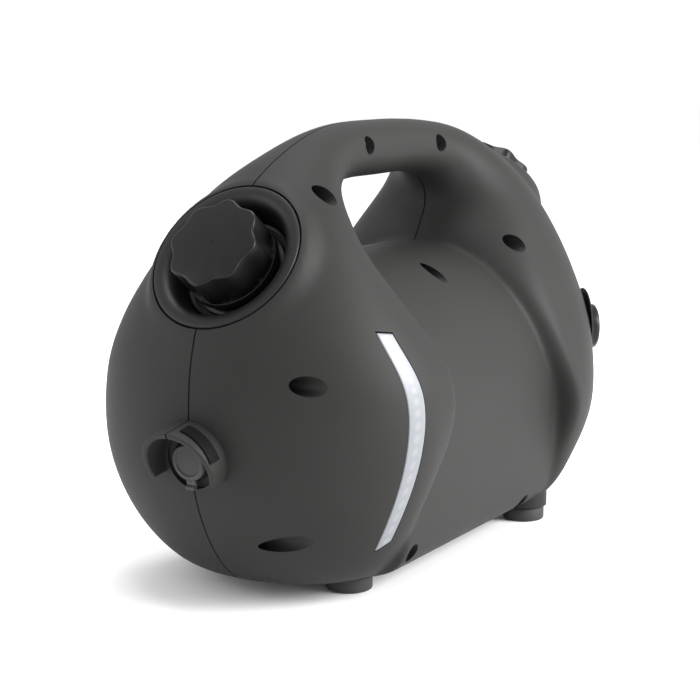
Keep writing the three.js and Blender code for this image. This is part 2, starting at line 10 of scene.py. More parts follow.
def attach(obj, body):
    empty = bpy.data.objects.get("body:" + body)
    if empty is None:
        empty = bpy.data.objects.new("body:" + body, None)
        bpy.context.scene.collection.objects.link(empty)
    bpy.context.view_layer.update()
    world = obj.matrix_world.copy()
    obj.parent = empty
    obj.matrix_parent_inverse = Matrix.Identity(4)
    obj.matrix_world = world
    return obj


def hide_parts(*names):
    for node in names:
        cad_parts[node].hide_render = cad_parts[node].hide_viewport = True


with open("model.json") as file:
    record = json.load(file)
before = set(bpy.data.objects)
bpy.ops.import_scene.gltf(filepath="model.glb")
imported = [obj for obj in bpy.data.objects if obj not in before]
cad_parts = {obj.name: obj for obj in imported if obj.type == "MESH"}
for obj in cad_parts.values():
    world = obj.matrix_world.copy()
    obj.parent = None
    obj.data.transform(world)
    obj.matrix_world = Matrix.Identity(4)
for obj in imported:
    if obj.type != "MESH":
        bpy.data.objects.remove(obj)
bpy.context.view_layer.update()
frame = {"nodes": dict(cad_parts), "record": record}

MM = 0.001
WALL = 3.0
GAP = 0.3
FRAME_SHIFT = 4.0  # from the drawing's X = 0 to the middle of the whole length
MID_X = 80.0  # the drawing's X = 0, measured from the front feet in the table below
LEFT = -1
RIGHT = 1

JOINTS = {joint["name"]: joint for joint in frame["record"]["behaviour"]["joints"]}

# The housing is one ring around the handle opening. Each station has a point on the outer
# outline, one on the rim of the opening, the half width, where along the section the width is
# greatest, and how square the section's opening side is. X here is from the front feet.
STATIONS = [
    (80, 12, 80, 34, 30, 0.5, 2.5),
    (22, 2, 8, 24, 54, 0.7, 3),
    (-22, 0, 0, 40, 70, 0.84, 4),
    (-54, 20, 5, 64, 82, 0.82, 6),
    (-74, 56, 12, 86, 88, 0.77, 8),
    (-78, 100, 14, 104, 86.5, 0.77, 8),
    (-71, 132, 10, 122, 77, 0.77, 6),
    (-52, 163, 6, 140, 62, 0.74, 4),
    (-27, 191, 2, 158, 44, 0.68, 3),
    (6, 208, 10, 178, 26, 0.6, 2.3),
    (40, 217, 39, 189, 17, 0.5, 2),
    (85, 219, 82, 191, 16, 0.5, 2),
    (128, 218, 114, 191, 17, 0.5, 2),
    (162, 213, 132, 186, 24, 0.5, 2),
    (194, 198, 138, 173, 37, 0.55, 2.3),
    (222, 174, 126, 151, 54, 0.62, 2.5),
    (241, 140, 126, 127, 70, 0.7, 4),
    (246, 104, 137, 98, 82, 0.78, 6),
    (230, 62, 149, 72, 87, 0.86, 7),
    (198, 26, 150, 50, 81, 0.8, 6),
    (165, 4, 142, 26, 66, 0.6, 3),
    (132, 4, 112, 24, 40, 0.5, 2.5),
]
STEPS_PER_STATION = 12
SECTION_STEPS = 120
FULLNESS = 0.994  # the fine mesh bulges a little more than the coarse one
BASE_Z = 8.0
BASE_SOFTNESS = 2.0
BARREL_RADIUS = 73.0
BARREL_Z = BASE_Z + BARREL_RADIUS
BARREL_HALF_LENGTH = 86.0
BARREL_MIDDLE_X = -2.0
BARREL_SQUARENESS = 6.0
FACET_MARGIN = 1.0  # the housing is flat this far outside a port's flange
FACET_FADE = 6.5
FACET_REACH = 20.0
VOXEL = 1.5  # the even mesh that the two joined bodies get
EASE_PASSES = 10
GROOVE_HALF_WIDTH = 0.4
GROOVE_DEPTH = 0.45
DEEP = 30.0  # how far a blind cut runs on past its wall

PORT_GAP = 0.8  # the dark line around a port's flange
PORT_SEAT_DEPTH = 3.2
PORT_WELL_MARGIN = 4.0
BOWL_DEPTH = 15.0
TUBE_RADIUS = 17.0
TUBE_BORE = 14.5
TUBE_TOP = 6.0
TUBE_FOOT = -35.0
CAP_TOP = 12.2
CAP_RADIUS = 21.2
CAP_LOBES = 8
CAP_LOBE_DEPTH = 1.15
CAP_GRIP_FOOT = -5.0
CAP_RIM = 22.4
CAP_BORE = 17.4
CAP_FOOT = -9.0

GUARD_OUTER = 18.5
GUARD_INNER = 15.8
GUARD_CROWN = 15.2
GUARD_FEET = 7.5
GUARD_FOOT = -8.0
GUARD_ROOT = 5.0
GUARD_REACH = 0.42
GUARD_CENTRE = Vector((-157 + FRAME_SHIFT, 0, 73))
RECESS_RADIUS = 13.0
RECESS_DEPTH = 2.0
SOCKET_BARREL = 6.5

BUTTON_CENTRE = Vector((134 + FRAME_SHIFT, -64.5, 100.5))
BUTTON_RECESS = 22.0
BUTTON_RECESS_DEPTH = 3.0
BUTTON_RADIUS = 12.5
BUTTON_TRAVEL = 1.5
BUTTON_STEM_HOLE = 6.0

# Where the screws sit on the drawing: X, then height.
SCREWS = [
    (-28, 207),
    (44, 206),
    (-94, 187),
    (64, 153),
    (-2, 143),
    (-142, 109),
    (-137, 36),
    (-80, 22),
    (46, 17),
]
SCREW_HOLE = 4.5
SCREW_PILOT = 1.95
SCREW_SEAT = 9.0
SCREW_TIP = 9.5
NEAR_BOSS = 6.4
FAR_BOSS = 4.6
HALF_REACH = 100.0

FEET = {
    "front_left_foot": (-80, -35),
    "front_right_foot": (-80, 35),
    "rear_left_foot": (77, -53),
    "rear_right_foot": (77, 53),
}
FOOT_RADIUS = 11.2
FOOT_BOSS = 12.6
FOOT_BOSS_TOP = 17.0
FOOT_PIN_HOLE = 3.3
FOOT_PIN_HOLE_TOP = 15.3

LAMP_FROM = 2.75  # stations at the strip's two ends
LAMP_TO = 6.1
LAMP_FOOT = 60.0  # the next four are degrees round the section
LAMP_LEAN = 10.0
LAMP_BOW = 10.5
LAMP_HALF_WIDTH = 4.0
LAMP_SLOT_MARGIN = 0.35
LAMP_SLOT_DEPTH = 14.0
LENS_THICKNESS = 3.0
LENS_PROUD = 0.25

CREASE_ANGLE = 40.0  # degrees: flatter joins between faces are shaded smooth
RUBBED_GAIN = 6.0  # how much paler a rubbed edge is than the plastic round it


# ---------------------------------------------------------------- modelling helpers
def deselect():
    bpy.ops.object.select_all(action="DESELECT")


def activate(piece):
    deselect()
    piece.select_set(True)
    bpy.context.view_layer.objects.active = piece


def named(name):
    piece = bpy.context.object
    piece.name = name
    piece.data.name = name
    return piece


def edit(piece):
    activate(piece)
    bpy.ops.object.mode_set(mode="EDIT")


def leave_edit():
    bpy.ops.object.mode_set(mode="OBJECT")


def tidy_mesh(piece):
    edit(piece)
    bpy.ops.mesh.select_all(action="SELECT")
    bpy.ops.mesh.remove_doubles(threshold=1e-6)
    bpy.ops.mesh.normals_make_consistent(inside=False)
    leave_edit()


def apply_modifier(piece, modifier):
    activate(piece)
    bpy.ops.object.modifier_apply(modifier=modifier.name)


def boolean(piece, others, operation):
    for other in others:
        cut = piece.modifiers.new("cut", "BOOLEAN")
        cut.operation = operation
        cut.solver = "MANIFOLD"
        cut.object = other
        apply_modifier(piece, cut)
        bpy.data.objects.remove(other)
    return piece


def rounded(piece, width, segments=3, angle=35.0):
    bevel = piece.modifiers.new("rounding", "BEVEL")
    bevel.width = width * MM
    bevel.segments = segments
    bevel.limit_method = "ANGLE"
    bevel.angle_limit = math.radians(angle)
    apply_modifier(piece, bevel)
    return piece


def smoothed(piece, angle=CREASE_ANGLE):
    activate(piece)
    bpy.ops.object.shade_smooth_by_angle(angle=math.radians(angle))
    return piece


def place(piece, matrix):
    activate(piece)
    piece.matrix_world = matrix @ piece.matrix_world
    bpy.ops.object.transform_apply(location=True, rotation=True, scale=True)
    return piece


def facing(centre, normal):
    """The matrix that stands a drawing (X across, Y up, Z out) on centre, along normal."""
    level = Vector((0, 1, 0)) if abs(normal.y) < 0.9 else Vector((1, 0, 0))
    up = normal.cross(level).normalized()
    if up.z < 0:
        up = -up
    side = up.cross(normal)
    turn = Matrix((side, up, normal)).transposed().to_4x4()
    return Matrix.Translation(centre * MM) @ turn


def along_y(x, z, sense):
    """The matrix that lays a drawing's Z along +Y or -Y, at a place on the middle plane."""
    return facing(Vector((x + FRAME_SHIFT, 0, z)), Vector((0, sense, 0)))


def turned(name, profile, segments=96, close=False):
    """A turned solid about Z from (radius, height) points: a circle, extruded and resized."""
    deselect()
    first_radius, height = profile[0]
    bpy.ops.mesh.primitive_circle_add(
        vertices=segments, radius=first_radius * MM, location=(0, 0, height * MM)
    )
    piece = named(name)
    place(piece, Matrix.Identity(4))
    edit(piece)
    bpy.ops.mesh.select_all(action="SELECT")
    if not close:
        bpy.ops.mesh.edge_face_add()
        bpy.ops.mesh.select_all(action="SELECT")
    radius = first_radius
    for next_radius, next_height in profile[1:]:
        bpy.ops.mesh.extrude_region_move(
            TRANSFORM_OT_translate={"value": (0, 0, (next_height - height) * MM)}
        )
        ratio = next_radius / radius
        bpy.ops.transform.resize(value=(ratio, ratio, 1))
        radius = next_radius
        height = next_height
    leave_edit()
    tidy_mesh(piece)
    return piece


def drum(radius, low, high, segments=64):
    deselect()
    bpy.ops.mesh.primitive_cylinder_add(
        vertices=segments,
        radius=radius * MM,
        depth=(high - low) * MM,
        location=(0, 0, (low + high) / 2 * MM),
    )
    return place(named("drum"), Matrix.Identity(4))


def block(low, high, name="block"):
    deselect()
    centre = [(a + b) / 2 * MM for a, b in zip(low, high)]
    bpy.ops.mesh.primitive_cube_add(size=1, location=centre)
    piece = named(name)
    piece.scale = [(b - a) * MM for a, b in zip(low, high)]
    return place(piece, Matrix.Identity(4))


def copy_of(piece, name):
    twin = piece.copy()
    twin.data = piece.data.copy()
    twin.name = name
    bpy.context.collection.objects.link(twin)
    return twin


# ---------------------------------------------------------------- housing surface
def blended(along, column):
    """Catmull-Rom through one column of the stations; along counts stations."""
    count = len(STATIONS)
    index = int(math.floor(along))
    t = along - index
    a, b, c, d = (STATIONS[(index + k) % count][column] for k in (-1, 0, 1, 2))
    square = t * t
    cube = square * t
    return 0.5 * (
        2 * b + (c - a) * t + (2 * a - 5 * b + 4 * c - d) * square + (3 * b - a - 3 * c + d) * cube
    )


class Port:
    """A port's place and tilt, taken from the joint that its cap turns on."""

    def __init__(self, word, flange, bowl):
        joint = JOINTS[word + "_cap_unscrew"]
        self.word = word
        self.flange = flange
        self.bowl = bowl
        self.centre = Vector(joint["pos_m"]) / MM
        self.normal = Vector(joint["axis"]).normalized()
        self.stand = facing(self.centre, self.normal)


FRONT_PORT = Port("front", 36.8, 26.5)
REAR_PORT = Port("rear", 30.6, 23.8)
GUARD_NORMAL = Vector(JOINTS["plug_pull"]["axis"]).normalized()
GUARD_STAND = facing(GUARD_CENTRE, GUARD_NORMAL)
BUTTON_NORMAL = -Vector(JOINTS["button_press"]["axis"]).normalized()
BUTTON_STAND = facing(BUTTON_CENTRE, BUTTON_NORMAL)


def pull_flat(point, port, inset):
    """Moves a point near a port on to the plane of its flange, and eases it back farther out."""
    offset = point - port.centre
    height = offset.dot(port.normal)
    radius = (offset - port.normal * height).length
    edge = port.flange + FACET_MARGIN + FACET_FADE
    if radius > edge or abs(height) > FACET_REACH:
        return point
    fade = min((edge - radius) / FACET_FADE, 1)
    weight = fade * fade * (3 - 2 * fade)
    return point + port.normal * (-inset - height) * weight


def housing_point(along, angle, inset):
    """A point on the housing: along counts stations, angle runs round the section."""
    outer = Vector((blended(along, 0) - MID_X + FRAME_SHIFT, 0, blended(along, 1)))
    rim = Vector((blended(along, 2) - MID_X + FRAME_SHIFT, 0, blended(along, 3)))
    width = blended(along, 4) * FULLNESS - inset
    corner = blended(along, 6)
    chord = rim - outer
    length = chord.length
    widest = blended(along, 5) * length
    cosine = math.cos(angle)
    sine = math.sin(angle)
    if cosine >= 0:
        power = 1
        reach = widest - inset
    else:
        power = 2 / corner
        reach = length - widest - inset
    across = widest - math.copysign(reach * abs(cosine) ** power, cosine)
    point = outer + chord * (across / length)
    point.y = math.copysign(width * abs(sine) ** power, sine)
    floor = BASE_Z + inset
    rise = min((point.z - floor) / BASE_SOFTNESS, 60)
    soft = floor + BASE_SOFTNESS * math.log1p(math.exp(rise))
    point.z = max(point.z, soft) if rise >= 60 else soft
    point = pull_flat(point, FRONT_PORT, inset)
    return pull_flat(point, REAR_PORT, inset)


def ring_body(inset, steps, section_steps):
    """A torus whose vertices are moved onto the housing's surface."""
    deselect()
    major = steps * len(STATIONS)
    bpy.ops.mesh.primitive_torus_add(
        major_segments=major,
        minor_segments=section_steps,
        major_radius=0.1,
        minor_radius=0.03,
    )
    piece = named("ring")
    for index, vertex in enumerate(piece.data.vertices):
        along = index // section_steps / steps
        angle = index % section_steps / section_steps * 2 * math.pi
        vertex.co = housing_point(along, angle, inset) * MM
    tidy_mesh(piece)
    return piece


def barrel_body(inset, steps=120):
    """The barrel that the ring clasps: round above, squarer below."""
    deselect()
    bpy.ops.mesh.primitive_cylinder_add(vertices=steps, radius=1, depth=2)
    piece = named("barrel")
    radius = BARREL_RADIUS - inset
    for vertex in piece.data.vertices:
        angle = math.atan2(vertex.co.x, vertex.co.y)
        up = math.cos(angle)
        side = math.sin(angle)
        power = 1 if up > 0 else 2 / BARREL_SQUARENESS
        vertex.co = Vector(
            (
                math.copysign(BARREL_HALF_LENGTH, vertex.co.z) + BARREL_MIDDLE_X + FRAME_SHIFT,
                math.copysign(radius * abs(side) ** power, side),
                BARREL_Z + math.copysign(radius * abs(up) ** power, up),
            )
        ) * MM
    tidy_mesh(piece)
    return piece


# ---------------------------------------------------------------- housing details
def guard_arch():
    """A three-quarter ring, spun, cut back to a sloping rim and rounded."""
    deselect()
    bpy.ops.mesh.primitive_plane_add(size=1)
    piece = named("arch")
    middle = (GUARD_OUTER + GUARD_INNER) / 2
    width = GUARD_OUTER - GUARD_INNER
    height = GUARD_CROWN + GUARD_ROOT
    edit(piece)
    bpy.ops.mesh.select_all(action="SELECT")
    bpy.ops.transform.resize(value=(width * MM, height * MM, 1))
    leave_edit()
    stand = Matrix.Translation(Vector((middle, 0, height / 2 - GUARD_ROOT)) * MM)
    place(piece, stand @ Matrix.Rotation(math.pi / 2, 4, "X"))
    place(piece, Matrix.Rotation(-GUARD_REACH, 4, "Z"))
    edit(piece)
    bpy.ops.mesh.select_all(action="SELECT")
    bpy.ops.mesh.spin(steps=56, angle=-math.pi - 2 * GUARD_REACH, center=(0, 0, 0), axis=(0, 0, 1))
    leave_edit()
    tidy_mesh(piece)
    slope = math.atan2(GUARD_CROWN - GUARD_FEET, GUARD_OUTER - GUARD_FOOT)
    edit(piece)
    bpy.ops.mesh.select_all(action="SELECT")
    bpy.ops.mesh.bisect(
        plane_co=Vector((0, GUARD_OUTER, GUARD_CROWN)) * MM,
        plane_no=(0, -math.sin(slope), math.cos(slope)),
        use_fill=True,
        clear_outer=True,
    )
    leave_edit()
    tidy_mesh(piece)
    rounded(piece, 0.7)
    return place(piece, GUARD_STAND)


def lamp_sheet(name, side, inset, grow):
    """A grid laid on the housing's side where the lamp strip runs."""
    rows = 72
    columns = 8
    deselect()
    bpy.ops.mesh.primitive_grid_add(x_subdivisions=rows, y_subdivisions=columns, size=2)
    piece = named(name)
    half = LAMP_HALF_WIDTH + grow
    spare = grow / 15
    for vertex in piece.data.vertices:
        t = (vertex.co.x + 1) / 2
        middle = LAMP_FOOT + LAMP_LEAN * t + LAMP_BOW * math.sin(math.pi * t)
        station = LAMP_FROM - spare + t * (LAMP_TO - LAMP_FROM + 2 * spare)
        angle = side * math.radians(middle + vertex.co.y * half)
        vertex.co = housing_point(station, angle, inset) * MM
    return piece


def point_away(piece, side):
    """Turns an open sheet's faces to the side of the housing that it lies on."""
    if piece.data.polygons[0].normal.y * side < 0:
        edit(piece)
        bpy.ops.mesh.select_all(action="SELECT")
        bpy.ops.mesh.flip_normals()
        leave_edit()


def thickened(piece, thickness, offset=-1.0):
    wall = piece.modifiers.new("wall", "SOLIDIFY")
    wall.thickness = thickness * MM
    wall.offset = offset
    apply_modifier(piece, wall)
    return piece


def lamp_slot(side):
    sheet = lamp_sheet("slot", side, 0, LAMP_SLOT_MARGIN)
    point_away(sheet, side)
    return thickened(sheet, LAMP_SLOT_DEPTH, 0.0)


def screw_bosses():
    bosses = []
    for x, z in SCREWS:
        bosses.append(place(drum(NEAR_BOSS, 0, HALF_REACH, 32), along_y(x, z, LEFT)))
        bosses.append(place(drum(FAR_BOSS, 0, HALF_REACH, 32), along_y(x, z, RIGHT)))
    return bosses


def screw_holes():
    holes = []
    for x, z in SCREWS:
        bore = drum(SCREW_HOLE, SCREW_SEAT, HALF_REACH, 48)
        pilot = drum(SCREW_PILOT, -SCREW_TIP - 1, SCREW_SEAT + 1, 24)
        holes.append(place(bore, along_y(x, z, LEFT)))
        holes.append(place(pilot, along_y(x, z, LEFT)))
    return holes


def port_cuts(port):
    seat = drum(port.flange + PORT_GAP, -PORT_SEAT_DEPTH, DEEP, 160)
    well = drum(port.bowl + PORT_WELL_MARGIN, -DEEP, 0, 96)
    return [place(seat, port.stand), place(well, port.stand)]


def foot_bosses():
    bosses = []
    for x, y in FEET.values():
        boss = drum(FOOT_BOSS, BASE_Z, FOOT_BOSS_TOP, 64)
        bosses.append(place(boss, Matrix.Translation(Vector((x + FRAME_SHIFT, y, 0)) * MM)))
    return bosses


def foot_holes():
    holes = []
    for x, y in FEET.values():
        hole = drum(FOOT_PIN_HOLE, 0, FOOT_PIN_HOLE_TOP, 32)
        holes.append(place(hole, Matrix.Translation(Vector((x + FRAME_SHIFT, y, 0)) * MM)))
    return holes


def socket_cuts():
    return [
        place(drum(RECESS_RADIUS, -RECESS_DEPTH, 6, 96), GUARD_STAND),
        place(drum(SOCKET_BARREL + GAP, -DEEP, 0), GUARD_STAND),
    ]


def button_cuts():
    return [
        place(drum(BUTTON_RECESS, -BUTTON_RECESS_DEPTH, 20, 128), BUTTON_STAND),
        place(drum(BUTTON_STEM_HOLE, -DEEP, 0), BUTTON_STAND),
    ]


def parting_groove():
    """A shallow step on both sides of the middle plane."""
    half = GROOVE_HALF_WIDTH
    slab = block((-200, -half, -10), (200, half, 240), "groove")
    core = boolean(ring_body(GROOVE_DEPTH, 4, 64), [barrel_body(GROOVE_DEPTH)], "UNION")
    return boolean(slab, [core], "DIFFERENCE")


def housing_base():
    """The two bodies joined, remeshed evenly and eased where they meet."""
    base = ring_body(0, STEPS_PER_STATION, SECTION_STEPS)
    boolean(base, [barrel_body(0)], "UNION")
    remesh = base.modifiers.new("even", "REMESH")
    remesh.mode = "VOXEL"
    remesh.voxel_size = VOXEL * MM
    apply_modifier(base, remesh)
    ease = base.modifiers.new("ease", "SMOOTH")
    ease.factor = 0.5
    ease.iterations = EASE_PASSES
    apply_modifier(base, ease)
    return base


def housing_pieces():
    """The whole housing with its bosses and cuts, then halved on the middle plane."""
    base = housing_base()
    trimmed = []
    for boss in screw_bosses():
        trimmed.append(boolean(boss, [copy_of(base, "trim")], "INTERSECT"))
    cavity = boolean(ring_body(WALL, 3, 40), [barrel_body(WALL, 64)], "UNION")
    boolean(base, [cavity], "DIFFERENCE")
    boolean(base, trimmed + foot_bosses() + [guard_arch()], "UNION")
    cuts = screw_holes() + foot_holes() + port_cuts(FRONT_PORT) + port_cuts(REAR_PORT)
    cuts += socket_cuts() + button_cuts() + [lamp_slot(LEFT), lamp_slot(RIGHT), parting_groove()]
    boolean(base, cuts, "DIFFERENCE")
    half = GAP / 2
    left = copy_of(base, "left_housing")
    boolean(left, [block((-300, -half, -300), (300, 300, 300))], "DIFFERENCE")
    right = base
    right.name = "right_housing"
    right.data.name = "right_housing"
    boolean(right, [block((-300, -300, -300), (300, half, 300))], "DIFFERENCE")
    for piece, node in ((left, "left_shell"), (right, "right_shell")):
        smoothed(piece)
        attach(piece, "root")
        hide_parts(node)
        dress(piece, HOUSING)


def dress(piece, material):
    piece.data.materials.clear()
    piece.data.materials.append(material)


# ---------------------------------------------------------------- ports and caps
def port_dish(port):
    """The flange rolls over into the bowl's wall; two fine steps run round the bowl's floor."""
    bowl = port.bowl
    roll = port.flange - bowl
    floor = -BOWL_DEPTH
    profile = [
        (TUBE_RADIUS + GAP, floor),
        (bowl - 2.6, floor),
        (bowl - 2.4, floor + 0.7),
        (bowl - 1.2, floor + 0.7),
        (bowl - 0.4, floor + 1.2),
        (bowl, floor + 2.4),
        (bowl + 0.5, -8.5),
        (bowl + 0.12 * roll, -5.6),
        (bowl + 0.2 * roll, -3.4),
        (bowl + 0.29 * roll, -1.7),
        (bowl + 0.4 * roll, -0.6),
        (bowl + 0.54 * roll, 0.0),
        (bowl + 0.7 * roll, 0.3),
        (port.flange - 0.8, 0.3),
        (port.flange - 0.25, 0.1),
        (port.flange, -0.5),
        (port.flange, -2.8),
        (bowl + 3.2, -2.9),
        (bowl + 3, -8),
        (bowl + 3, floor - 2),
        (TUBE_RADIUS + GAP, floor - 2),
        (TUBE_RADIUS + GAP, floor),
    ]
    piece = turned(port.word + "_port_flange", profile, 160, close=True)
    smoothed(place(piece, port.stand))
    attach(piece, "root")
    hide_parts(port.word + "_port_dish")
    # the dish's material has shade painted into the bowl, darker with depth
    dress(piece, bowl_plastic_with_painted_shade(port))


def port_neck(port):
    collar = port.bowl - 3.5
    floor = -BOWL_DEPTH + GAP
    profile = [
        (TUBE_BORE, TUBE_FOOT),
        (TUBE_RADIUS, TUBE_FOOT),
        (TUBE_RADIUS, floor),
        (collar, floor),
        (collar, floor + 1.6),
        (collar - 0.6, floor + 2),
        (TUBE_RADIUS, floor + 2.2),
        (TUBE_RADIUS, TUBE_TOP - 0.6),
        (TUBE_RADIUS - 0.6, TUBE_TOP),
        (TUBE_BORE, TUBE_TOP),
        (TUBE_BORE, TUBE_FOOT),
    ]
    piece = turned(port.word + "_port_neck", profile, 96, close=True)
    smoothed(place(piece, port.stand))
    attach(piece, "root")
    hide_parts(port.word + "_port_tube")
    dress(piece, CAP)


def cap_grip(name):
    """The fluted grip: a disc whose rim is waved, raised, and bevelled at its top edge."""
    segments = CAP_LOBES * 24
    deselect()
    bpy.ops.mesh.primitive_circle_add(vertices=segments, radius=CAP_RADIUS * MM, fill_type="NGON")
    piece = named(name)
    for vertex in piece.data.vertices:
        angle = math.atan2(vertex.co.y, vertex.co.x)
        radius = CAP_RADIUS + CAP_LOBE_DEPTH * math.cos(CAP_LOBES * angle)
        vertex.co = Vector((radius * math.cos(angle), radius * math.sin(angle), CAP_GRIP_FOOT)) * MM
    edit(piece)
    bpy.ops.mesh.select_all(action="SELECT")
    rise = CAP_TOP - CAP_GRIP_FOOT
    bpy.ops.mesh.extrude_region_move(TRANSFORM_OT_translate={"value": (0, 0, rise * MM)})
    leave_edit()
    tidy_mesh(piece)
    return rounded(piece, 0.9, 4, 60)


def screw_cap(port):
    piece = cap_grip(port.word + "_screw_cap")
    skirt = turned(
        "skirt",
        [
            (CAP_RIM - 0.3, CAP_FOOT),
            (CAP_RIM, CAP_FOOT + 0.3),
            (CAP_RIM, CAP_GRIP_FOOT - 0.3),
            (CAP_RIM - 0.3, CAP_GRIP_FOOT),
            (CAP_RADIUS - 3, CAP_GRIP_FOOT + 0.02),
        ],
        128,
    )
    boolean(piece, [skirt], "UNION")
    bore = drum(CAP_BORE, CAP_FOOT - 1, CAP_TOP - 3.2, 96)
    dimple = turned("dimple", [(0.6, CAP_TOP - 0.35), (1.0, CAP_TOP + 0.2)], 24)
    boolean(piece, [bore, dimple], "DIFFERENCE")
    smoothed(place(piece, port.stand))
    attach(piece, port.word + "_cap_turn")
    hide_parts(port.word + "_cap")
    dress(piece, CAP)


# ---------------------------------------------------------------- other outside pieces
def rubber_feet():
    profile = [
        (FOOT_RADIUS - 1.2, 0),
        (FOOT_RADIUS - 0.4, 0.3),
        (FOOT_RADIUS, 1.1),
        (FOOT_RADIUS, 6.2),
        (FOOT_RADIUS - 0.5, 7.2),
        (FOOT_RADIUS - 1.2, 7.7),
        (3.0, 7.7),
        (3.0, 15.0),
    ]
    for node, (x, y) in FEET.items():
        piece = turned(node.replace("foot", "rubber_foot"), profile, 64)
        place(piece, Matrix.Translation(Vector((x + FRAME_SHIFT, y, 0)) * MM))
        smoothed(piece)
        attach(piece, "root")
        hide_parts(node)
        dress(piece, RUBBER)


def lamp_lenses():
    for side, word in ((LEFT, "left"), (RIGHT, "right")):
        piece = lamp_sheet(word + "_lens", side, -LENS_PROUD, 0)
        point_away(piece, side)
        thickened(piece, LENS_THICKNESS)
        rounded(piece, 0.5, 3, 50)
        smoothed(piece)
        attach(piece, "root")
        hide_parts(word + "_lamp_lens")
        dress(piece, LENS)


def socket_bung():
    low = -RECESS_DEPTH + 2 * GAP + 1.6
    profile = [
        (2.6, -7),
        (3.1, -6),
        (3.1, low),
        (8.0, low),
        (8.4, low + 0.4),
        (8.4, low + 1.8),
        (8.0, low + 2.5),
        (6.2, low + 2.9),
        (5.8, low + 2.4),
        (1.0, low + 2.5),
    ]
    piece = turned("socket_bung", profile, 72)
    tab = block((-2.4, -11.2, low + 0.1), (2.4, -6, low + 1.9), "tab")
    rounded(tab, 0.6)
    lip = block((-2.4, -12.6, low + 0.1), (2.4, -10.6, low + 3.4), "lip")
    rounded(lip, 0.6)
    boolean(piece, [tab, lip], "UNION")
    smoothed(place(piece, GUARD_STAND))
    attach(piece, "plug")
    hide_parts("socket_plug")
    dress(piece, RUBBER)


def button_pieces():
    floor = -BUTTON_RECESS_DEPTH + GAP
    bezel = turned(
        "button_ring",
        [
            (BUTTON_RADIUS + GAP, floor),
            (BUTTON_RECESS - GAP, floor),
            (BUTTON_RECESS - GAP, floor + 0.5),
            (BUTTON_RECESS - 0.6, floor + 0.8),
            (BUTTON_RADIUS + 3, floor + 1.6),
            (BUTTON_RADIUS + 0.8, floor + 1.6),
            (BUTTON_RADIUS + GAP, floor + 1.1),
            (BUTTON_RADIUS + GAP, floor),
        ],
        128,
        close=True,
    )
    smoothed(place(bezel, BUTTON_STAND), 30)
    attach(bezel, "root")
    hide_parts("button_bezel")
    dress(bezel, FLANGE)
    low = floor + BUTTON_TRAVEL + GAP
    dome = turned(
        "button_dome",
        [
            (5.0, -9),
            (5.0, low),
            (BUTTON_RADIUS - 0.3, low),
            (BUTTON_RADIUS, low + 0.3),
            (BUTTON_RADIUS, low + 3.8),
            (BUTTON_RADIUS - 0.4, low + 4.8),
            (BUTTON_RADIUS - 1.6, low + 5.6),
            (BUTTON_RADIUS * 0.72, low + 6.1),
            (BUTTON_RADIUS * 0.4, low + 6.45),
            (1.0, low + 6.6),
        ],
        96,
    )
    smoothed(place(dome, BUTTON_STAND))
    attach(dome, "button")
    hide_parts("power_button")
    dress(dome, CAP)


# ---------------------------------------------------------------- materials
def new_group(name, inputs, outputs):
    group = bpy.data.node_groups.new(name, "ShaderNodeTree")
    for label, kind, value in inputs:
        socket = group.interface.new_socket(label, in_out="INPUT", socket_type=kind)
        socket.default_value = value
    for label, kind in outputs:
        group.interface.new_socket(label, in_out="OUTPUT", socket_type=kind)
    return group, group.nodes.new("NodeGroupInput"), group.nodes.new("NodeGroupOutput")


def math_node(tree, operation, *values):
    node = tree.nodes.new("ShaderNodeMath")
    node.operation = operation
    for socket, value in zip(node.inputs, values):
        if isinstance(value, (int, float)):
            socket.default_value = value
        else:
            tree.links.new(value, socket)
    return node.outputs[0]


def moulded_grain_group():
    """Fine spark-eroded grain and the slow mottle of moulded plastic."""
    group, source, target = new_group(
        "moulded_grain",
        [("Grain Scale", "NodeSocketFloat", 2400.0), ("Mottle Scale", "NodeSocketFloat", 30.0)],
        [("Height", "NodeSocketFloat"), ("Mottle", "NodeSocketFloat")],
    )
    links = group.links
    place_in = group.nodes.new("ShaderNodeTexCoord").outputs["Object"]
    grain = group.nodes.new("ShaderNodeTexNoise")
    grain.inputs["Detail"].default_value = 2
    links.new(place_in, grain.inputs["Vector"])
    links.new(source.outputs["Grain Scale"], grain.inputs["Scale"])
    mottle = group.nodes.new("ShaderNodeTexNoise")
    mottle.inputs["Detail"].default_value = 5
    mottle.inputs["Roughness"].default_value = 0.6
    links.new(place_in, mottle.inputs["Vector"])
    links.new(source.outputs["Mottle Scale"], mottle.inputs["Scale"])
    links.new(grain.outputs["Fac"], target.inputs["Height"])
    links.new(mottle.outputs["Fac"], target.inputs["Mottle"])
    return group


def edge_wear_group():
    """Where sharp convex edges are rubbed, broken up by noise."""
    group, source, target = new_group(
        "edge_wear",
        [("Amount", "NodeSocketFloat", 0.3)],
        [("Wear", "NodeSocketFloat")],
    )
    links = group.links
    sharp = group.nodes.new("ShaderNodeNewGeometry").outputs["Pointiness"]
    edge = group.nodes.new("ShaderNodeMapRange")
    edge.inputs["From Min"].default_value = 0.53
    edge.inputs["From Max"].default_value = 0.64
    links.new(sharp, edge.inputs["Value"])
    noise = group.nodes.new("ShaderNodeTexNoise")
    noise.inputs["Scale"].default_value = 220
    noise.inputs["Detail"].default_value = 3
    coords = group.nodes.new("ShaderNodeTexCoord").outputs["Object"]
    links.new(coords, noise.inputs["Vector"])
    broken = math_node(group, "MULTIPLY", edge.outputs["Result"], noise.outputs["Fac"])
    result = math_node(group, "MULTIPLY", broken, source.outputs["Amount"])
    links.new(result, target.inputs["Wear"])
    return group


GRAIN = moulded_grain_group()
EDGE_WEAR = edge_wear_group()


